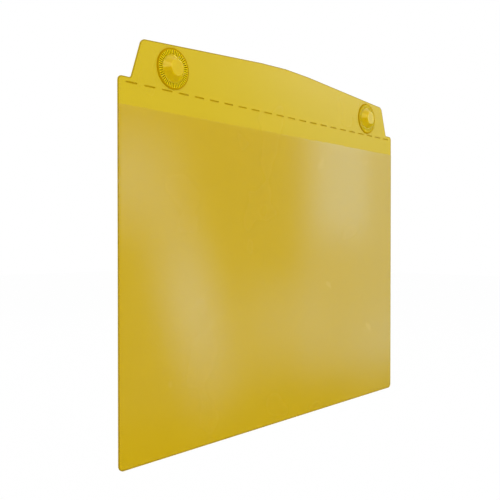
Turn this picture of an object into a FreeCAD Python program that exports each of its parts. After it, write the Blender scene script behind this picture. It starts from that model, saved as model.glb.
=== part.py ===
import FreeCAD, Part
import math
import os

# A hanging document pouch: one yellow plastic sheet with a scored folding line, a clear film sealed to its front on
# three sides, and two magnet buttons clamped through the flap above the folding line.
#
# Millimetres. +X is along the width and +Z is up. The front faces -Y. The plane Y = 0 is the steel wall that the
# magnets hold to, and the origin lies on it, midway between the two magnets' axes.

# Outline of the sheet: widths are measured from side to side, heights from the bottom edge
SHEET_WIDTH = 310.0
SHOULDER_HEIGHT = 235.2
FLAP_FOOT_WIDTH = 291.2
FLAP_TOP_WIDTH = 275.4
FLAP_CORNER_HEIGHT = 260.1
GABLE_HEIGHT = 269.5
BOTTOM_CORNER_R = 3.5
SHOULDER_CORNER_R = 3.0
FLAP_FOOT_R = 1.8
FLAP_CORNER_R = 4.5
GABLE_R = 410.0

# Thicknesses
SHEET_THICK = 0.8
POCKET_GAP = 0.2
FILM_THICK = 0.25
SHEET_EDGE_R = 0.2

# Pocket
FILM_TOP_HEIGHT = 218.3
SEAM_WIDTH = 1.5

# Folding line: a strip with scored dashes in its front face
CREASE_HEIGHT = 232.06
CREASE_STRIP_HEIGHT = 3.0
DASH_COUNT = 22
DASH_LENGTH = 8.57
DASH_END_MARGIN = 5.65
DASH_WIDTH = 1.0
DASH_DEPTH = 0.6

# Buttons: radii about each magnet's axis, depths from the flap's front face
BUTTON_SPACING = 225.3
BUTTON_HEIGHT = 246.6
FLANGE_R = 13.1
FLANGE_DEPTH = 0.65
FLANGE_BEVEL = 0.95
FLANGE_BEVEL_R = 0.2
FLANGE_LIP = 0.55
FLANGE_LIP_R = 0.15
HUB_FOOT_R = 8.5
HUB_TOP_R = 5.0
HUB_DEPTH = 4.7
HUB_EDGE_R = 0.35
HUB_FOOT_FILLET = 0.3
CORE_R = 4.0
CORE_DEPTH = 3.5
STEM_R = 8.0
STEM_SHORT = 0.1
BEAD_PROUD = 0.3
FIT_CLEARANCE = 0.1

# Grooves in the flange
GROOVE_COUNT = 48
GROOVE_INNER_R = 8.95
GROOVE_OUTER_R = 11.9
GROOVE_WIDTH = 0.7
GROOVE_DEPTH = 0.4

# Magnet, steel cup, rear retainer and grip pad
PAD_THICK = 0.5
PAD_R = 6.5
CUP_R = 6.5
CUP_WALL = 1.1
CUP_FLOOR = 1.0
MAGNET_THICK = 3.0
RETAINER_R = 11.5
RETAINER_THICK = 1.3
RETAINER_LIP = 0.3
RETAINER_EDGE_R = 0.4

# Places that follow from the sizes above
SHEET_REAR_Y = -(PAD_THICK + RETAINER_THICK)
SHEET_FRONT_Y = SHEET_REAR_Y - SHEET_THICK
FILM_REAR_Y = SHEET_FRONT_Y - POCKET_GAP
BOTTOM_Z = -BUTTON_HEIGHT
CREASE_Z = CREASE_HEIGHT - BUTTON_HEIGHT
STRIP_LOW_Z = CREASE_Z - CREASE_STRIP_HEIGHT / 2
STRIP_HIGH_Z = CREASE_Z + CREASE_STRIP_HEIGHT / 2
FILM_TOP_Z = FILM_TOP_HEIGHT - BUTTON_HEIGHT
BUTTON_X = {"left": -BUTTON_SPACING / 2, "right": BUTTON_SPACING / 2}
HOLE_R = STEM_R + FIT_CLEARANCE
REACH = 2 * SHEET_WIDTH

REARWARD = FreeCAD.Vector(0, 1, 0)
FORWARD = FreeCAD.Vector(0, -1, 0)


def rounded_wire(corners):
    """A closed wire through (point, radius) corners: straight edges joined by tangent arcs where radius isn't 0."""
    edges = []
    ends = []
    count = len(corners)
    for i, (point, radius) in enumerate(corners):
        before = (corners[i - 1][0] - point).normalize()
        after = (corners[(i + 1) % count][0] - point).normalize()
        half_angle = before.getAngle(after) / 2
        if radius == 0:
            ends.append((point, point))
            continue
        run = radius / math.tan(half_angle)
        middle_direction = (before + after).normalize()
        to_centre = radius / math.sin(half_angle)
        first = point + before * run
        middle = point + middle_direction * (to_centre - radius)
        last = point + after * run
        edges.append(Part.Arc(first, middle, last).toShape())
        ends.append((first, last))
    for i in range(count):
        start = ends[i][1]
        end = ends[(i + 1) % count][0]
        if start.distanceToPoint(end) > 1e-6:
            edges.append(Part.LineSegment(start, end).toShape())
    return Part.Wire(Part.__sortEdges__(edges))


def plate(corners, rear_y, thickness):
    """A flat plate whose outline is (x, z, radius) corners, from rear_y forwards by thickness."""
    outline = [(FreeCAD.Vector(x, rear_y, z), radius) for x, z, radius in corners]
    return Part.Face(rounded_wire(outline)).extrude(FORWARD * thickness)


def between_heights(low_z, high_z):
    """The slab of space from low_z to high_z."""
    return Part.makeBox(2 * REACH, 2 * REACH, high_z - low_z, FreeCAD.Vector(-REACH, -REACH, low_z))


def between_sides(low_x, high_x):
    """The slab of space from low_x to high_x."""
    return Part.makeBox(high_x - low_x, 2 * REACH, 2 * REACH, FreeCAD.Vector(low_x, -REACH, -REACH))


def turned(profile, button_x):
    """A solid of revolution about a magnet's axis, from (radius, y, corner radius) corners."""
    corners = [(FreeCAD.Vector(radius, y, 0), corner) for radius, y, corner in profile]
    solid = Part.Face(rounded_wire(corners)).revolve(FreeCAD.Vector(), REARWARD, 360)
    solid.translate(FreeCAD.Vector(button_x, 0, 0))
    return solid


def disc(radius, rear_y, thickness, button_x):
    """A round disc on a magnet's axis, from rear_y forwards by thickness."""
    return Part.makeCylinder(radius, thickness, FreeCAD.Vector(button_x, rear_y, 0), FORWARD)


def make_whole_sheet():
    """The yellow sheet before it is parted at the folding line: outer edges eased and holes punched."""
    shoulder_z = BOTTOM_Z + SHOULDER_HEIGHT
    flap_corner_z = BOTTOM_Z + FLAP_CORNER_HEIGHT
    right_side = [
        (SHEET_WIDTH / 2, BOTTOM_Z, BOTTOM_CORNER_R),
        (SHEET_WIDTH / 2, shoulder_z, SHOULDER_CORNER_R),
        (FLAP_FOOT_WIDTH / 2, shoulder_z, FLAP_FOOT_R),
        (FLAP_TOP_WIDTH / 2, flap_corner_z, FLAP_CORNER_R),
    ]
    left_side = [(-x, z, radius) for x, z, radius in reversed(right_side)]
    gable = [(0, BOTTOM_Z + GABLE_HEIGHT, GABLE_R)]
    sheet = plate(right_side + gable + left_side, SHEET_REAR_Y, SHEET_THICK)
    rims = [edge for face in sheet.Faces if abs(face.normalAt(0, 0).y) > 0.99 for edge in face.Edges]
    sheet = sheet.makeFillet(SHEET_EDGE_R, rims)
    for button_x in BUTTON_X.values():
        sheet = sheet.cut(disc(HOLE_R, SHEET_REAR_Y + 1, SHEET_THICK + 2, button_x))
    return sheet


def make_dashes():
    """The round-ended scored grooves of the folding line, as one compound to cut away."""
    pitch = (SHEET_WIDTH - 2 * DASH_END_MARGIN - DASH_LENGTH) / (DASH_COUNT - 1)
    first_x = -SHEET_WIDTH / 2 + DASH_END_MARGIN
    dashes = []
    for i in range(DASH_COUNT):
        low_x = first_x + i * pitch
        high_x = low_x + DASH_LENGTH
        low_z = CREASE_Z - DASH_WIDTH / 2
        high_z = CREASE_Z + DASH_WIDTH / 2
        end_r = 0.499 * DASH_WIDTH
        corners = [(low_x, low_z, end_r), (high_x, low_z, end_r), (high_x, high_z, end_r), (low_x, high_z, end_r)]
        dashes.append(plate(corners, SHEET_FRONT_Y + DASH_DEPTH, 2 * DASH_DEPTH))
    return Part.makeCompound(dashes)


def make_sheet_parts():
    """The flap above the folding line, the scored strip that folds, and the pocket's back below it."""
    sheet = make_whole_sheet()
    strip = sheet.common(between_heights(STRIP_LOW_Z, STRIP_HIGH_Z))
    return {
        "header_flap": sheet.common(between_heights(STRIP_HIGH_Z, REACH)),
        "crease_strip": strip.cut(make_dashes()),
        "pocket_back": sheet.common(between_heights(-REACH, STRIP_LOW_Z)),
    }


def make_film_parts():
    """The clear film and the three sealed edges that hold it a little in front of the pocket's back."""
    half = SHEET_WIDTH / 2
    corners = [
        (-half, BOTTOM_Z, BOTTOM_CORNER_R),
        (half, BOTTOM_Z, BOTTOM_CORNER_R),
        (half, FILM_TOP_Z, 0),
        (-half, FILM_TOP_Z, 0),
    ]
    gap_layer = plate(corners, SHEET_FRONT_Y, POCKET_GAP)
    seam_top_z = BOTTOM_Z + SEAM_WIDTH
    above_bottom_seam = gap_layer.common(between_heights(seam_top_z, REACH))
    return {
        "front_film": plate(corners, FILM_REAR_Y, FILM_THICK),
        "seam_bottom": gap_layer.common(between_heights(-REACH, seam_top_z)),
        "seam_left": above_bottom_seam.common(between_sides(-REACH, -half + SEAM_WIDTH)),
        "seam_right": above_bottom_seam.common(between_sides(half - SEAM_WIDTH, REACH)),
    }


def make_grooves(button_x):
    """The V grooves that ring a cap's flange, as one compound to cut away."""
    front_y = SHEET_FRONT_Y - FLANGE_DEPTH
    half = GROOVE_WIDTH / 2
    section = [
        FreeCAD.Vector(GROOVE_INNER_R, front_y, -half),
        FreeCAD.Vector(GROOVE_INNER_R, front_y + GROOVE_DEPTH, 0),
        FreeCAD.Vector(GROOVE_INNER_R, front_y, half),
        FreeCAD.Vector(GROOVE_INNER_R, front_y - GROOVE_DEPTH, 0),
    ]
    length = GROOVE_OUTER_R - GROOVE_INNER_R
    groove = Part.Face(Part.makePolygon(section + section[:1])).extrude(FreeCAD.Vector(length, 0, 0))
    grooves = []
    for i in range(GROOVE_COUNT):
        turned_groove = groove.copy()
        turned_groove.rotate(FreeCAD.Vector(), REARWARD, i * 360 / GROOVE_COUNT)
        turned_groove.translate(FreeCAD.Vector(button_x, 0, 0))
        grooves.append(turned_groove)
    return Part.makeCompound(grooves)


def make_cap(button_x):
    """A moulded cap: grooved, bevelled flange on the flap, conical hub, and a hollow stem that passes through the flap."""
    cavity_r = CUP_R + FIT_CLEARANCE / 2
    cavity_y = -(PAD_THICK + MAGNET_THICK + CUP_FLOOR) - FIT_CLEARANCE
    core_y = SHEET_FRONT_Y - CORE_DEPTH
    stem_end_y = -PAD_THICK - STEM_SHORT
    bead_y = SHEET_REAR_Y + RETAINER_LIP
    flange_y = SHEET_FRONT_Y - FLANGE_DEPTH
    hub_y = SHEET_FRONT_Y - HUB_DEPTH
    profile = [
        (0, hub_y, 0),
        (HUB_TOP_R, hub_y, HUB_EDGE_R),
        (HUB_FOOT_R, flange_y, HUB_FOOT_FILLET),
        (FLANGE_R - FLANGE_BEVEL, flange_y, FLANGE_BEVEL_R),
        (FLANGE_R, SHEET_FRONT_Y - FLANGE_LIP, FLANGE_LIP_R),
        (FLANGE_R, SHEET_FRONT_Y, 0),
        (STEM_R, SHEET_FRONT_Y, 0),
        (STEM_R, bead_y, 0),
        (STEM_R + BEAD_PROUD, bead_y, 0),
        (STEM_R, stem_end_y, 0),
        (cavity_r, stem_end_y, 0),
        (cavity_r, cavity_y, 0),
        (CORE_R, cavity_y, 0),
        (CORE_R, core_y, 0),
        (0, core_y, 0),
    ]
    return turned(profile, button_x).cut(make_grooves(button_x))


def make_cup(button_x):
    """The pressed steel cup, open to the rear, that the magnet sits in."""
    floor_y = -PAD_THICK - MAGNET_THICK
    front_y = floor_y - CUP_FLOOR
    inner_r = CUP_R - CUP_WALL
    profile = [
        (0, front_y, 0),
        (CUP_R, front_y, CUP_FLOOR / 2),
        (CUP_R, -PAD_THICK, 0),
        (inner_r, -PAD_THICK, 0),
        (inner_r, floor_y, 0),
        (0, floor_y, 0),
    ]
    return turned(profile, button_x)


def make_retainer(button_x):
    """The rear ring: its lip snaps in front of the bead on the cap's stem, and its face clamps the flap."""
    lip_y = SHEET_REAR_Y + RETAINER_LIP
    bore_r = STEM_R + FIT_CLEARANCE
    relief_r = STEM_R + BEAD_PROUD + FIT_CLEARANCE
    profile = [
        (bore_r, SHEET_REAR_Y, 0),
        (RETAINER_R, SHEET_REAR_Y, 0),
        (RETAINER_R, -PAD_THICK, RETAINER_EDGE_R),
        (relief_r, -PAD_THICK, 0),
        (relief_r, lip_y, 0),
        (bore_r, lip_y, 0),
    ]
    return turned(profile, button_x)


def make_button(side, button_x):
    """Everything of one magnet button, from its front cap to the grip pad that touches the wall."""
    magnet_r = CUP_R - CUP_WALL - FIT_CLEARANCE
    return {
        "button_cap_" + side: make_cap(button_x),
        "magnet_cup_" + side: make_cup(button_x),
        "magnet_" + side: disc(magnet_r, -PAD_THICK, MAGNET_THICK, button_x),
        "retainer_" + side: make_retainer(button_x),
        "grip_pad_" + side: disc(PAD_R, 0, PAD_THICK, button_x),
    }


def make_parts():
    """Every sub-part of the pouch, by name."""
    parts = make_sheet_parts()
    parts.update(make_film_parts())
    for side, button_x in BUTTON_X.items():
        parts.update(make_button(side, button_x))
    return parts


def main():
    os.makedirs("parts", exist_ok=True)
    for name, shape in make_parts().items():
        solids = shape.Solids
        if len(solids) != 1 or not solids[0].isValid():
            raise ValueError(name + " is not one valid solid")
        solids[0].exportStep("parts/" + name + ".step")
        box = shape.BoundBox
        print(f"{name}: {box.XLength:.2f} x {box.YLength:.2f} x {box.ZLength:.2f} mm, {shape.Volume:.1f} mm3")


main()
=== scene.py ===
import math

import bmesh
import bpy
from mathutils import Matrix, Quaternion, Vector


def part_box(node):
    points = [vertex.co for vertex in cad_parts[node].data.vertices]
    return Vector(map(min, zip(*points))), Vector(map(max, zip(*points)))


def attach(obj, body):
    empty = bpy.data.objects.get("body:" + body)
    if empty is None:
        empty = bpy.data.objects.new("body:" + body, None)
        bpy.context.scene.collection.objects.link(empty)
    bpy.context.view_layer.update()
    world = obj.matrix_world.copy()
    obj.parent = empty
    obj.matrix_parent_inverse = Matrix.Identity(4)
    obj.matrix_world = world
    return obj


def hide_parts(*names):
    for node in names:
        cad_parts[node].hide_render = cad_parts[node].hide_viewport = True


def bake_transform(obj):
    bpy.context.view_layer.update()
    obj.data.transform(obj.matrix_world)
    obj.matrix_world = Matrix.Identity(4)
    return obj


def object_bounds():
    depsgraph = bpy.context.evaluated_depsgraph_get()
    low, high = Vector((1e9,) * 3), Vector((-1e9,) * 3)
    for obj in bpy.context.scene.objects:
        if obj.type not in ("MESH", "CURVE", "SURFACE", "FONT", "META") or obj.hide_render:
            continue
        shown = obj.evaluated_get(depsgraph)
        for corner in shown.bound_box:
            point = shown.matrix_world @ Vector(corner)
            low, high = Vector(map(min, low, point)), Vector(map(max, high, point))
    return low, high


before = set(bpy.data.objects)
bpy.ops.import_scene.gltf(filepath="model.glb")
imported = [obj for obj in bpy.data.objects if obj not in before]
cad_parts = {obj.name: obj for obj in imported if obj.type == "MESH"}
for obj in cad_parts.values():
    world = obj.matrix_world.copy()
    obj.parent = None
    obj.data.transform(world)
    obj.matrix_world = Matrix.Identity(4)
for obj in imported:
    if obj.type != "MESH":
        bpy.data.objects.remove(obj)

# A hanging document pouch with a yellow plastic back, a clear film front and two magnet buttons, in metres.
# +X is along the width, +Z is up and the front faces -Y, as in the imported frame.

MM = 0.001
cad_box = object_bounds()

# Colours, in linear red, green, blue and alpha
YELLOW_DARK = (0.640, 0.452, 0, 1)
YELLOW_LIGHT = (0.735, 0.520, 0.002, 1)
# Painted shade: darker yellow along the sheet's edges, for the shade on its eased edges
RIM_SHADE_DARK = (0.44, 0.300, 0, 1)
RIM_SHADE_PALE = (0.50, 0.34, 0.001, 1)
# Painted shade: darker yellow in the scored dashes, for the shade down in them
DASH_SHADE_DARK = (0.56, 0.365, 0, 1)
DASH_SHADE_PALE = (0.62, 0.41, 0.001, 1)
BUTTON_LIGHT = (0.77, 0.525, 0.002, 1)
BUTTON_DARK = (0.64, 0.42, 0.001, 1)
# Painted highlight: the flange's lands, lighter than the hub, as the ridges between the grooves catching the
# light
BUTTON_LAND_HIGHLIGHT = (0.95, 0.64, 0.003, 1)
# Painted shade: dark colour down in the flange's grooves, for the shade in them
BUTTON_GROOVE_SHADE = (0.32, 0.15, 0, 1)
# Painted shade: a dark ring on the flange's bevel, for the shade round the flange's foot
BUTTON_BEVEL_SHADE = (0.50, 0.28, 0, 1)
BUTTON_SHEEN = (1, 0.93, 0.32, 1)
RETAINER_YELLOW = (0.78, 0.55, 0.003, 1)
SEAM_YELLOW = (0.62, 0.50, 0.05, 1)
STEEL = (0.6, 0.6, 0.62, 1)
NICKEL = (0.7, 0.69, 0.65, 1)
RUBBER_BLACK = (0.02, 0.02, 0.02, 1)
FLOOR_GREY = (0.9, 0.9, 0.9, 1)
WHITE = (1, 1, 1, 1)
FILM_TINT = (1, 0.981, 0.85, 1)
COOL_WHITE = (0.35, 0.62, 1.0)

# Finishes: a grain is its scale, strength and depth, and noise lies mostly between the two limits
SHEET_GRAIN = (1100, 0.35, 0.04 * MM)
MOULD_GRAIN = (2200, 0.1, 0.02 * MM)
CLOUD_SCALE = 18.0
NOISE_LOW = 0.3
NOISE_HIGH = 0.7
SHADE_SWING = 0.02
ROUGHNESS_SWING = 0.03
PLASTIC_IOR = 1.5
BUTTON_IOR = 1.75
BUTTON_GLOSS = 0.5
FLANGE_GLOSS_SHARE = 0.22

# Camera
CAMERA_PLACE = Vector((-0.3827, -0.3181, -0.1104))
CAMERA_YAW = 47.33
CAMERA_PITCH = 0.65
CAMERA_LENS = 46.58
SENSOR_WIDTH = 36.0
CLIP_START = 0.01
CLIP_END = 50

# Outline of the sheet and the film: half widths, and heights from the line through the magnets' axes
SHEET_HALF = 155.0 * MM
FOOT_HALF = 145.6 * MM
CORNER_HALF = 137.7 * MM
BOTTOM_Z = -246.6 * MM
FILM_TOP_Z = -28.3 * MM
SHOULDER_Z = -11.4 * MM
CORNER_Z = 13.5 * MM
GABLE_Z = 22.9 * MM
BOTTOM_CORNER_R = 3.5 * MM
SHOULDER_CORNER_R = 3.0 * MM
FOOT_R = 1.8 * MM
FLAP_CORNER_R = 4.5 * MM
GABLE_R = 410.0 * MM
ARC_STEP = 7.5  # degrees

# Faces and edges
SHEET_FRONT_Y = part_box("pocket_back")[0][1]
SHEET_REAR_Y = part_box("pocket_back")[1][1]
EDGE_R = 0.2 * MM
RIM_WIDTH = 0.75 * MM
CRISP_ANGLE = 40  # degrees

# Folding line, and the buttons' holes
FOLD_TOP_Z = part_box("header_flap")[0][2]
FOLD_BOTTOM_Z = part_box("pocket_back")[1][2]
FOLD_ROW = 0.15 * MM
DASH_Z = (FOLD_TOP_Z + FOLD_BOTTOM_Z) / 2
DASH_COUNT = 22
DASH_LENGTH = 8.57 * MM
DASH_END_MARGIN = 5.65 * MM
DASH_WIDTH = 1.1 * MM
DASH_DEPTH = 0.6 * MM
DASH_ANGLES = (18, 42, 66, 90)
DASH_ROUNDNESS = 0.7
BUTTON_X = 112.65 * MM
HOLE_R = 8.1 * MM
HOLE_POINTS = 96

# Where the buttons' colour changes: painted shade on the flange's bevel and down in its grooves, and a
# painted highlight on the lands outside the hub
FLANGE_Y = SHEET_FRONT_Y - 0.65 * MM
BEVEL_INNER_R = 12.15 * MM
BEVEL_FADE = 0.25 * MM
GROOVE_FADE = (0.02 * MM, 0.14 * MM)
HUB_FOOT_R = 8.9 * MM

# Clear film
FILM_FRONT_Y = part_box("front_film")[0][1]
FILM_THICK = 0.25 * MM
FILM_EDGE_R = 0.05 * MM
FILM_RIM_WIDTH = 0.1 * MM
FILM_IOR = 1.4
FILM_ROUGHNESS = 0.10
BACK_FACE_SHARE = 0.5
WELD_WIDTH = 0.9 * MM
WELD_SLOPE = 0.6 * MM
WELD_SINK = 0.08 * MM
FILM_BOW = 0.25 * MM
FILM_GRID = 8.0 * MM

# Surroundings
FLOOR_DROP = 0.30
FLOOR_SIZE = 16.0
FLOOR_GLOW = 0.98
ROOM_GLOW = 0.06
SKY_GLOW = 0.66
SKY_STARTS = 0.19
SKY_FULL = 0.27
LIGHTS_AIM = Vector((0, 0, -0.11))


def azimuth_direction(azimuth, elevation):
    """The unit vector from the pouch towards a light: azimuth 0 is straight in front, and 90 is along +X."""
    level = math.cos(math.radians(elevation))
    x = level * math.sin(math.radians(azimuth))
    y = -level * math.cos(math.radians(azimuth))
    return Vector((x, y, math.sin(math.radians(elevation))))


def mirrored_place(x, z, reach):
    """Where a light stands to be seen in the film at (x, z). It is on the line from the camera's mirror image
    through that point, reach times as far from the image as the point is."""
    behind = Vector((CAMERA_PLACE.x, 2 * FILM_FRONT_Y - CAMERA_PLACE.y, CAMERA_PLACE.z))
    return behind + reach * (Vector((x, FILM_FRONT_Y, z)) - behind)


def make_camera():
    data = bpy.data.cameras.new("camera")
    data.sensor_width = SENSOR_WIDTH
    data.lens = CAMERA_LENS
    data.clip_start = CLIP_START
    data.clip_end = CLIP_END
    camera = bpy.data.objects.new("camera", data)
    camera.location = CAMERA_PLACE
    camera.rotation_euler = (math.radians(90 - CAMERA_PITCH), 0, math.radians(-CAMERA_YAW))
    bpy.context.scene.collection.objects.link(camera)
    bpy.context.scene.camera = camera


class Nodes:
    """A short way to lay out shader nodes."""

    def __init__(self, tree):
        self.tree = tree
        tree.nodes.clear()

    def add(self, kind, values=None, **settings):
        node = self.tree.nodes.new(kind)
        for key, value in settings.items():
            setattr(node, key, value)
        for key, value in (values or {}).items():
            if isinstance(value, bpy.types.NodeSocket):
                self.tree.links.new(value, node.inputs[key])
            else:
                node.inputs[key].default_value = value
        return node

    def blend_colours(self, share, first, second):
        return self.add("ShaderNodeMix", {0: share, 6: first, 7: second}, data_type="RGBA").outputs[2]

    def math(self, operation, first, second=0.0):
        return self.add("ShaderNodeMath", {0: first, 1: second}, operation=operation).outputs[0]

    def ramp(self, value, low, high, to_low=0.0, to_high=1.0, smooth=False):
        kind = "SMOOTHSTEP" if smooth else "LINEAR"
        values = {"Value": value, "From Min": low, "From Max": high, "To Min": to_low, "To Max": to_high}
        return self.add("ShaderNodeMapRange", values, interpolation_type=kind).outputs[0]


def make_softbox(name, place, facing, size, radiance, softness, tilt=0.0, colour=(1, 1, 1)):
    """A rectangular light whose glow falls off smoothly to its edges. Softness 0.5 leaves no level middle."""
    width, height = size
    data = bpy.data.lights.new(name, "AREA")
    data.shape = "RECTANGLE"
    data.size = width
    data.size_y = height
    data.energy = radiance * math.pi * width * height
    data.color = colour
    data.use_nodes = True
    nodes = Nodes(data.node_tree)
    across = nodes.add("ShaderNodeNewGeometry").outputs["Parametric"]
    parts = nodes.add("ShaderNodeSeparateXYZ", {0: across})
    fades = []
    for i in range(2):
        from_edge = nodes.math("PINGPONG", parts.outputs[i], 0.5)
        fades.append(nodes.ramp(from_edge, 0, softness, smooth=True))
    strength = nodes.math("MULTIPLY", fades[0], fades[1])
    glow = nodes.add("ShaderNodeEmission", {"Strength": strength})
    nodes.add("ShaderNodeOutputLight", {0: glow.outputs[0]})
    light = bpy.data.objects.new(name, data)
    light.location = place
    turn = Quaternion((0, 0, 1), math.radians(tilt))
    light.rotation_euler = (Vector(facing).to_track_quat("-Z", "Y") @ turn).to_euler()
    bpy.context.scene.collection.objects.link(light)


def make_film_light(name, middle, size, radiance, softness, tilt=0.0, reach=6.0):
    """A softbox parallel to the film that shows in it round middle, an (x, z), as wide and high as size.
    Lights of different reach are in different planes."""
    place = mirrored_place(middle[0], middle[1], reach)
    full_size = (size[0] * reach, size[1] * reach)
    make_softbox(name, place, (0, 1, 0), full_size, radiance, softness, tilt, COOL_WHITE)


def make_studio_light(name, angles, distance, size, radiance, softness):
    """A softbox that faces the pouch's middle, at angles of azimuth and elevation."""
    direction = azimuth_direction(*angles)
    make_softbox(name, LIGHTS_AIM + distance * direction, -direction, size, radiance, softness)


def make_lights():
    """Four lights round the pouch, then those that the film mirrors."""
    make_studio_light("key", (-37, 33), distance=2.8, size=(4.0, 2.2), radiance=1.22, softness=0.03)
    make_studio_light("side", (68, 30), distance=2.6, size=(1.8, 1.4), radiance=3.2, softness=0.2)
    make_studio_light("rear", (158, 30), distance=3.2, size=(3.4, 2.4), radiance=1.5, softness=0.3)
    make_studio_light("left", (-112, 15), distance=2.6, size=(1.8, 1.6), radiance=2.6, softness=0.3)
    make_film_light("film_base", (0, -0.085), (0.60, 0.30), radiance=0.23, softness=0.1, reach=6.6)
    make_film_light("right_wall", (0.110, -0.060), (0.22, 0.37), radiance=0.76, softness=0.16, reach=6.2)
    make_film_light("right_low", (0.140, -0.215), (0.20, 0.13), radiance=0.44, softness=0.5, reach=6.4)
    make_film_light("right_strip", (0.076, -0.030), (0.105, 0.20), radiance=1.25, softness=0.25)
    make_film_light("left_strip", (-0.098, -0.152), (0.080, 0.20), radiance=2.5, softness=0.5, tilt=19)
    make_film_light("left_glow", (-0.150, -0.070), (0.13, 0.11), radiance=1.75, softness=0.5, reach=5.8)
    make_film_light("low_glow", (-0.010, -0.170), (0.16, 0.11), radiance=0.80, softness=0.5, reach=5.6)


def make_world():
    """A room that is dim low down and bright high up. Only the camera sees it white all over."""
    world = bpy.data.worlds.new("studio")
    bpy.context.scene.world = world
    world.use_nodes = True
    nodes = Nodes(world.node_tree)
    direction = nodes.add("ShaderNodeTexCoord").outputs["Generated"]
    height = nodes.add("ShaderNodeSeparateXYZ", {0: direction}).outputs["Z"]
    dim = nodes.ramp(height, SKY_STARTS, SKY_FULL, ROOM_GLOW, SKY_GLOW, smooth=True)
    seen = nodes.add("ShaderNodeLightPath").outputs["Is Camera Ray"]
    glow = nodes.add("ShaderNodeMix", {0: seen, 2: dim, 3: 1.0}).outputs[0]
    back = nodes.add("ShaderNodeBackground", {"Color": WHITE, "Strength": glow})
    nodes.add("ShaderNodeOutputWorld", {0: back.outputs[0]})


def make_floor():
    """A pale floor that casts no shadow and isn't mirrored."""
    bpy.ops.mesh.primitive_plane_add(size=FLOOR_SIZE, location=(0, 0, cad_box[0][2] - FLOOR_DROP))
    floor = bpy.context.object
    floor.name = "floor"
    floor.visible_glossy = False
    floor.visible_shadow = False
    material, nodes = new_material("pale_floor")
    paint = nodes.add("ShaderNodeBsdfDiffuse", {"Color": FLOOR_GREY})
    glow = nodes.add("ShaderNodeEmission", {"Color": WHITE, "Strength": 1.0})
    seen = nodes.add("ShaderNodeLightPath").outputs["Is Camera Ray"]
    share = nodes.math("MULTIPLY", seen, FLOOR_GLOW)
    mixed = nodes.add("ShaderNodeMixShader", {0: share, 1: paint.outputs[0], 2: glow.outputs[0]})
    nodes.add("ShaderNodeOutputMaterial", {0: mixed.outputs[0]})
    floor.data.materials.append(material)


def new_material(name):
    material = bpy.data.materials.new(name)
    material.use_nodes = True
    return material, Nodes(material.node_tree)


def grain_bump(nodes, scale, strength, depth):
    """The fine moulded or rolled grain of a plastic surface: its normal, and its height from 0 to 1."""
    place = nodes.add("ShaderNodeTexCoord").outputs["Object"]
    values = {"Vector": place, "Scale": scale, "Detail": 3.0, "Roughness": 0.6}
    noise = nodes.add("ShaderNodeTexNoise", values).outputs[0]
    values = {"Height": noise, "Strength": strength, "Distance": depth}
    return nodes.add("ShaderNodeBump", values).outputs[0], noise


def sheet_material(name, dark, light, rough, gloss):
    """Satin sheet plastic with a faint cloudiness and a fine grain, between two colours."""
    material, nodes = new_material(name)
    bump, grain = grain_bump(nodes, *SHEET_GRAIN)
    place = nodes.add("ShaderNodeTexCoord").outputs["Object"]
    cloud = nodes.add("ShaderNodeTexNoise", {"Vector": place, "Scale": CLOUD_SCALE, "Detail": 2.0}).outputs[0]
    cloud_shade = nodes.ramp(cloud, NOISE_LOW, NOISE_HIGH, -SHADE_SWING, SHADE_SWING)
    grain_shade = nodes.ramp(grain, NOISE_LOW, NOISE_HIGH, -SHADE_SWING, SHADE_SWING)
    shade = nodes.math("ADD", nodes.math("ADD", cloud_shade, grain_shade), 0.5)
    values = {
        "Base Color": nodes.blend_colours(shade, dark, light),
        "Roughness": nodes.ramp(cloud, NOISE_LOW, NOISE_HIGH, rough, rough + ROUGHNESS_SWING),
        "IOR": PLASTIC_IOR,
        "Specular IOR Level": gloss,
        "Normal": bump,
    }
    body = nodes.add("ShaderNodeBsdfPrincipled", values)
    nodes.add("ShaderNodeOutputMaterial", {0: body.outputs[0]})
    return material


def clear_film_material():
    """A clear, faintly warm film whose gloss grows towards grazing angles."""
    material, nodes = new_material("clear_film")
    through = nodes.add("ShaderNodeBsdfTransparent", {"Color": FILM_TINT})
    gloss = nodes.add("ShaderNodeBsdfGlossy", {"Color": WHITE, "Roughness": FILM_ROUGHNESS})
    behind = nodes.add("ShaderNodeNewGeometry").outputs["Backfacing"]
    ior = nodes.ramp(behind, 0, 1, FILM_IOR, 1 / FILM_IOR)
    share = nodes.add("ShaderNodeFresnel", {"IOR": ior}).outputs[0]
    share = nodes.math("MULTIPLY", share, nodes.ramp(behind, 0, 1, 1, BACK_FACE_SHARE))
    mixed = nodes.add("ShaderNodeMixShader", {0: share, 1: through.outputs[0], 2: gloss.outputs[0]})
    nodes.add("ShaderNodeOutputMaterial", {0: mixed.outputs[0]})
    return material


def plain_material(name, colour, roughness, metallic=0.0):
    """A plain moulded, plated or pressed finish with a fine grain."""
    material, nodes = new_material(name)
    values = {
        "Base Color": colour,
        "Roughness": roughness,
        "IOR": PLASTIC_IOR,
        "Metallic": metallic,
        "Normal": grain_bump(nodes, *MOULD_GRAIN)[0],
    }
    body = nodes.add("ShaderNodeBsdfPrincipled", values)
    nodes.add("ShaderNodeOutputMaterial", {0: body.outputs[0]})
    return material


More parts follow.
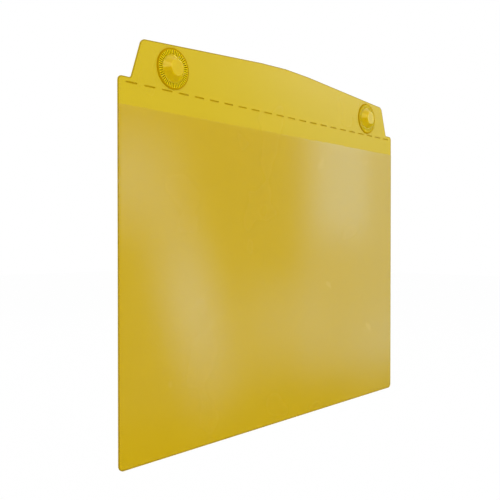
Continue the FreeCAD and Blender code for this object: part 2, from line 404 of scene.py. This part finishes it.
def button_material():
    """Glossy moulded plastic, with painted shade on the flange's bevel and down in its grooves, and the lands
    painted lighter as a highlight.
    """
    material, nodes = new_material("yellow_button")
    bump, grain = grain_bump(nodes, *MOULD_GRAIN)
    place = nodes.add("ShaderNodeTexCoord").outputs["Object"]
    parts = nodes.add("ShaderNodeSeparateXYZ", {0: place})
    beside = nodes.math("SUBTRACT", nodes.math("ABSOLUTE", parts.outputs["X"]), BUTTON_X)
    above = nodes.math("POWER", parts.outputs["Z"], 2)
    radius = nodes.math("SQRT", nodes.math("ADD", nodes.math("MULTIPLY", beside, beside), above))
    # Painted shade: a dark ring on the flange's bevel
    bevel_shade_mask = nodes.ramp(radius, BEVEL_INNER_R - BEVEL_FADE, BEVEL_INNER_R)
    sunk = nodes.ramp(parts.outputs["Y"], FLANGE_Y + GROOVE_FADE[0], FLANGE_Y + GROOVE_FADE[1])
    outside_hub = nodes.math("GREATER_THAN", radius, HUB_FOOT_R)
    # Painted shade down in the flange's grooves
    groove_shade_mask = nodes.math("MULTIPLY", sunk, outside_hub)
    deep = nodes.math("MAXIMUM", bevel_shade_mask, groove_shade_mask)
    shade = nodes.ramp(grain, NOISE_LOW, NOISE_HIGH, 0, 0.05)
    colour = nodes.blend_colours(shade, BUTTON_LIGHT, BUTTON_DARK)
    # Painted highlight: the flange's lands outside the hub, lighter as ridges catching the light
    colour = nodes.blend_colours(outside_hub, colour, BUTTON_LAND_HIGHLIGHT)
    colour = nodes.blend_colours(groove_shade_mask, colour, BUTTON_GROOVE_SHADE)
    colour = nodes.blend_colours(bevel_shade_mask, colour, BUTTON_BEVEL_SHADE)
    grazing = nodes.add("ShaderNodeLayerWeight", {"Blend": 0.5}).outputs["Facing"]
    facing_share = nodes.ramp(grazing, 0.6, 0.95, 1, 0.1)
    gloss = nodes.math("MULTIPLY", nodes.ramp(deep, 0, 1, BUTTON_GLOSS, 0.0), facing_share)
    gloss = nodes.math("MULTIPLY", gloss, nodes.ramp(outside_hub, 0, 1, 1, FLANGE_GLOSS_SHARE))
    values = {
        "Base Color": colour,
        "Roughness": nodes.ramp(deep, 0, 1, 0.13, 0.55),
        "IOR": BUTTON_IOR,
        "Specular Tint": BUTTON_SHEEN,
        "Specular IOR Level": gloss,
        "Normal": bump,
        "Subsurface Weight": nodes.ramp(deep, 0, 1, 0.7, 0.2),
        "Subsurface Radius": (1, 1, 0.2),
        "Subsurface Scale": 2.0 * MM,
    }
    body = nodes.add("ShaderNodeBsdfPrincipled", values)
    nodes.add("ShaderNodeOutputMaterial", {0: body.outputs[0]})
    return material


def make_materials():
    """A material for each of the record's slots, and two for the sheet's rim and its scored dashes: darker
    copies of the sheet's that paint shade along its edges and down in the dashes.
    """
    return {
        "yellow_sheet": sheet_material("yellow_sheet", YELLOW_DARK, YELLOW_LIGHT, rough=0.25, gloss=0.29),
        "yellow_rim_shade": sheet_material("yellow_rim_shade", RIM_SHADE_DARK, RIM_SHADE_PALE, rough=0.5, gloss=0.1),
        "yellow_dash_shade": sheet_material("yellow_dash_shade", DASH_SHADE_DARK, DASH_SHADE_PALE, rough=0.5, gloss=0.03),
        "clear_film": clear_film_material(),
        "sealed_edge": plain_material("sealed_edge", SEAM_YELLOW, roughness=0.4),
        "yellow_button": button_material(),
        "cup_steel": plain_material("cup_steel", STEEL, roughness=0.3, metallic=1.0),
        "magnet_nickel": plain_material("magnet_nickel", NICKEL, roughness=0.2, metallic=1.0),
        "retainer_plastic": plain_material("retainer_plastic", RETAINER_YELLOW, roughness=0.4),
        "grip_rubber": plain_material("grip_rubber", RUBBER_BLACK, roughness=0.7),
    }


def finish_nodes(materials):
    """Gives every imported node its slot's material."""
    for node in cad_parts.values():
        slots = node.data.materials
        for i in range(len(slots)):
            slots[i] = materials[slots[i].name.split(".")[0]]


def rounded(corners):
    """The points of an anticlockwise outline, from its corners of (x, z, radius)."""
    points = []
    for i in range(len(corners)):
        x, z, radius = corners[i]
        corner = Vector((x, z))
        before = (Vector(corners[i - 1][:2]) - corner).normalized()
        after = (Vector(corners[(i + 1) % len(corners)][:2]) - corner).normalized()
        if radius == 0:
            points.append(corner)
            continue
        half = before.angle(after) / 2
        centre = corner + (before + after).normalized() * radius / math.sin(half)
        start = corner + before * radius / math.tan(half) - centre
        end = corner + after * radius / math.tan(half) - centre
        first = math.atan2(start.y, start.x)
        turn = math.remainder(math.atan2(end.y, end.x) - first, 2 * math.pi)
        count = max(2, math.ceil(abs(math.degrees(turn)) / ARC_STEP))
        for k in range(count + 1):
            angle = first + turn * k / count
            points.append(centre + radius * Vector((math.cos(angle), math.sin(angle))))
    return points


def inset(points, distance):
    """A closed outline moved inwards."""
    moved = []
    for i in range(len(points)):
        before = (points[i] - points[i - 1]).normalized()
        after = (points[(i + 1) % len(points)] - points[i]).normalized()
        inwards = Vector((-before.y - after.y, before.x + after.x)).normalized()
        share = inwards.dot(Vector((-before.y, before.x)))
        moved.append(points[i] + inwards * distance / share)
    return moved


def edged_plate(outline, profile, rim_steps=()):
    """A closed plate. Its profile is the edge's (inset, y) from the front face round to the rear face, and
    the bands numbered in rim_steps get the second material."""
    bm = bmesh.new()
    rings = []
    for distance, y in profile:
        rings.append([bm.verts.new((point.x, y, point.y)) for point in inset(outline, distance)])
    bm.faces.new(rings[0])
    bm.faces.new(rings[-1])
    count = len(outline)
    for step in range(len(rings) - 1):
        for i in range(count):
            j = (i + 1) % count
            corners = (rings[step][i], rings[step][j], rings[step + 1][j], rings[step + 1][i])
            face = bm.faces.new(corners)
            if step in rim_steps:
                face.material_index = 1
    bmesh.ops.recalc_face_normals(bm, faces=bm.faces)
    return bm


def add_swept(bm, sections):
    """Adds the skin round a run of sections of equal count, capped at both ends."""
    rings = []
    for section in sections:
        rings.append([bm.verts.new(point) for point in section])
    count = len(rings[0])
    for k in range(len(rings) - 1):
        for i in range(count):
            j = (i + 1) % count
            bm.faces.new((rings[k][i], rings[k][j], rings[k + 1][j], rings[k + 1][i]))
    bm.faces.new(rings[0])
    bm.faces.new(rings[-1])


def add_dashes(bm):
    """The round-bottomed, round-ended scored dashes of the folding line, as solids to cut away."""
    pitch = (2 * SHEET_HALF - 2 * DASH_END_MARGIN - DASH_LENGTH) / (DASH_COUNT - 1)
    stations = []
    for angle in DASH_ANGLES:
        along = DASH_WIDTH / 2 * (1 - math.cos(math.radians(angle)))
        stations.append((along, math.sin(math.radians(angle))))
    for i in range(DASH_COUNT):
        low_x = -SHEET_HALF + DASH_END_MARGIN + i * pitch
        places = [(low_x + along, share) for along, share in stations]
        places += [(low_x + DASH_LENGTH - along, share) for along, share in reversed(stations)]
        sections = []
        for x, share in places:
            section = []
            for angle in range(0, 181, 20):
                z = DASH_Z + share * DASH_WIDTH / 2 * math.cos(math.radians(angle))
                sink = share * DASH_DEPTH * math.sin(math.radians(angle)) ** DASH_ROUNDNESS
                section.append((x, SHEET_FRONT_Y + sink, z))
            section.append((x, SHEET_FRONT_Y - DASH_DEPTH, DASH_Z - share * DASH_WIDTH / 2))
            section.append((x, SHEET_FRONT_Y - DASH_DEPTH, DASH_Z + share * DASH_WIDTH / 2))
            sections.append(section)
        add_swept(bm, sections)


def add_holes(bm):
    """The buttons' round holes, as solids to cut away."""
    for button_x in (-BUTTON_X, BUTTON_X):
        sections = []
        for y in (SHEET_FRONT_Y - DASH_DEPTH, SHEET_REAR_Y + DASH_DEPTH):
            section = []
            for k in range(HOLE_POINTS):
                angle = 2 * math.pi * k / HOLE_POINTS
                section.append((button_x + HOLE_R * math.cos(angle), y, HOLE_R * math.sin(angle)))
            sections.append(section)
        add_swept(bm, sections)


def new_piece(name, bm, materials):
    mesh = bpy.data.meshes.new(name)
    bm.to_mesh(mesh)
    bm.free()
    for material in materials:
        mesh.materials.append(material)
    piece = bpy.data.objects.new(name, mesh)
    bpy.context.scene.collection.objects.link(piece)
    return piece


def settle(piece):
    """Applies the piece's modifiers to its mesh."""
    bpy.context.view_layer.update()
    seen = piece.evaluated_get(bpy.context.evaluated_depsgraph_get())
    mesh = bpy.data.meshes.new_from_object(seen)
    piece.modifiers.clear()
    piece.data = mesh


def cut_away(piece, cutter):
    """Takes the cutter's solids out of the piece, and removes the cutter."""
    step = piece.modifiers.new("cut", "BOOLEAN")
    step.operation = "DIFFERENCE"
    step.solver = "EXACT"
    step.object = cutter
    settle(piece)
    bpy.data.objects.remove(cutter)


def smooth(piece):
    """Smooth shading that keeps flat faces flat and edges over CRISP_ANGLE crisp."""
    mesh = piece.data
    bm = bmesh.new()
    bm.from_mesh(mesh)
    for face in bm.faces:
        face.smooth = True
    for edge in bm.edges:
        edge.smooth = len(edge.link_faces) == 2 and edge.calc_face_angle(0) < math.radians(CRISP_ANGLE)
    bm.to_mesh(mesh)
    bm.free()
    step = piece.modifiers.new("normals", "WEIGHTED_NORMAL")
    step.keep_sharp = True
    settle(piece)


def slice_mesh(bm, axis, places):
    """Cuts rows of edges across a mesh at places along an axis, so that it can bend there."""
    normal = [0, 0, 0]
    normal[axis] = 1
    for place in places:
        point = [0, 0, 0]
        point[axis] = place
        parts = bm.verts[:] + bm.edges[:] + bm.faces[:]
        bmesh.ops.bisect_plane(bm, geom=parts, plane_co=point, plane_no=normal, dist=1e-7)


def sheet_outline():
    """The sheet's outline, anticlockwise from its lower right corner."""
    right = [
        (SHEET_HALF, BOTTOM_Z, BOTTOM_CORNER_R),
        (SHEET_HALF, SHOULDER_Z, SHOULDER_CORNER_R),
        (FOOT_HALF, SHOULDER_Z, FOOT_R),
        (CORNER_HALF, CORNER_Z, FLAP_CORNER_R),
    ]
    left = [(-x, z, radius) for x, z, radius in reversed(right)]
    return rounded(right + [(0, GABLE_Z, GABLE_R)] + left)


def edge_profile(front_y, rear_y, radius, rim_width):
    """A plate's edge from the front face's rim, round the eased front and rear edges."""
    profile = [(rim_width, front_y)]
    for angle in (90, 60, 30, 0):
        sine = math.sin(math.radians(angle))
        cosine = math.cos(math.radians(angle))
        profile.append((radius * (1 - cosine), front_y + radius * (1 - sine)))
    return profile + [(distance, rear_y + front_y - y) for distance, y in reversed(profile[1:])]


def make_sheet(materials):
    """The yellow sheet, one piece from the flap over the folding line to the bottom of the pocket."""
    finishes = [materials["yellow_sheet"], materials["yellow_rim_shade"], materials["yellow_dash_shade"]]
    profile = edge_profile(SHEET_FRONT_Y, SHEET_REAR_Y, EDGE_R, RIM_WIDTH)
    # The rim bands get the rim material, painted darker as shade along the sheet's edges
    plate = edged_plate(sheet_outline(), profile, rim_steps=range(5))
    piece = new_piece("yellow_back", plate, finishes)
    cutter = bmesh.new()
    add_dashes(cutter)
    # The dashes' cut faces get the dash material, painted darker as shade in the grooves
    for face in cutter.faces:
        face.material_index = 2
    add_holes(cutter)
    bmesh.ops.recalc_face_normals(cutter, faces=cutter.faces)
    cut_away(piece, new_piece("cutter", cutter, finishes))
    bm = bmesh.new()
    bm.from_mesh(piece.data)
    rows = int((FOLD_TOP_Z - FOLD_BOTTOM_Z) / FOLD_ROW) + 1
    slice_mesh(bm, 2, [FOLD_BOTTOM_Z + FOLD_ROW * k for k in range(rows)])
    bm.to_mesh(piece.data)
    bm.free()
    smooth(piece)
    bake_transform(piece)
    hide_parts("header_flap", "crease_strip", "pocket_back")


def make_film(materials):
    """The clear film, welded to the sheet along three sides, with a slight bow towards its open top."""
    corners = [
        (-SHEET_HALF, BOTTOM_Z, BOTTOM_CORNER_R),
        (SHEET_HALF, BOTTOM_Z, BOTTOM_CORNER_R),
        (SHEET_HALF, FILM_TOP_Z, 0),
        (-SHEET_HALF, FILM_TOP_Z, 0),
    ]
    profile = edge_profile(FILM_FRONT_Y, FILM_FRONT_Y + FILM_THICK, FILM_EDGE_R, FILM_RIM_WIDTH)
    bm = edged_plate(rounded(corners), profile)
    height = FILM_TOP_Z - BOTTOM_Z
    slope = [WELD_WIDTH + WELD_SLOPE * share for share in (0, 0.25, 0.5, 0.75, 1)]
    columns = [-SHEET_HALF + inside for inside in slope] + [SHEET_HALF - inside for inside in slope]
    half_count = int(SHEET_HALF / FILM_GRID)
    columns += [FILM_GRID * k for k in range(-half_count, half_count + 1)]
    rows = [BOTTOM_Z + inside for inside in slope]
    rows += [BOTTOM_Z + FILM_GRID * k for k in range(1, int(height / FILM_GRID))]
    slice_mesh(bm, 0, columns)
    slice_mesh(bm, 2, rows)
    for vert in bm.verts:
        inside = min(SHEET_HALF - abs(vert.co.x), vert.co.z - BOTTOM_Z)
        raised = min(max((inside - WELD_WIDTH) / WELD_SLOPE, 0), 1)
        raised = raised * raised * (3 - 2 * raised)
        across = 1 - (vert.co.x / SHEET_HALF) ** 2
        up = min(max((vert.co.z - BOTTOM_Z) / height, 0), 1)
        vert.co.y += WELD_SINK * (1 - raised) - FILM_BOW * across * math.sin(math.pi / 2 * up) * raised
    piece = new_piece("clear_front", bm, [materials["clear_film"]])
    smooth(piece)
    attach(piece, "pocket")
    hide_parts("front_film", "seam_left", "seam_right", "seam_bottom")


make_camera()
bpy.context.scene.view_settings.view_transform = "Standard"
make_world()
make_floor()
make_lights()
materials = make_materials()
finish_nodes(materials)
make_sheet(materials)
make_film(materials)
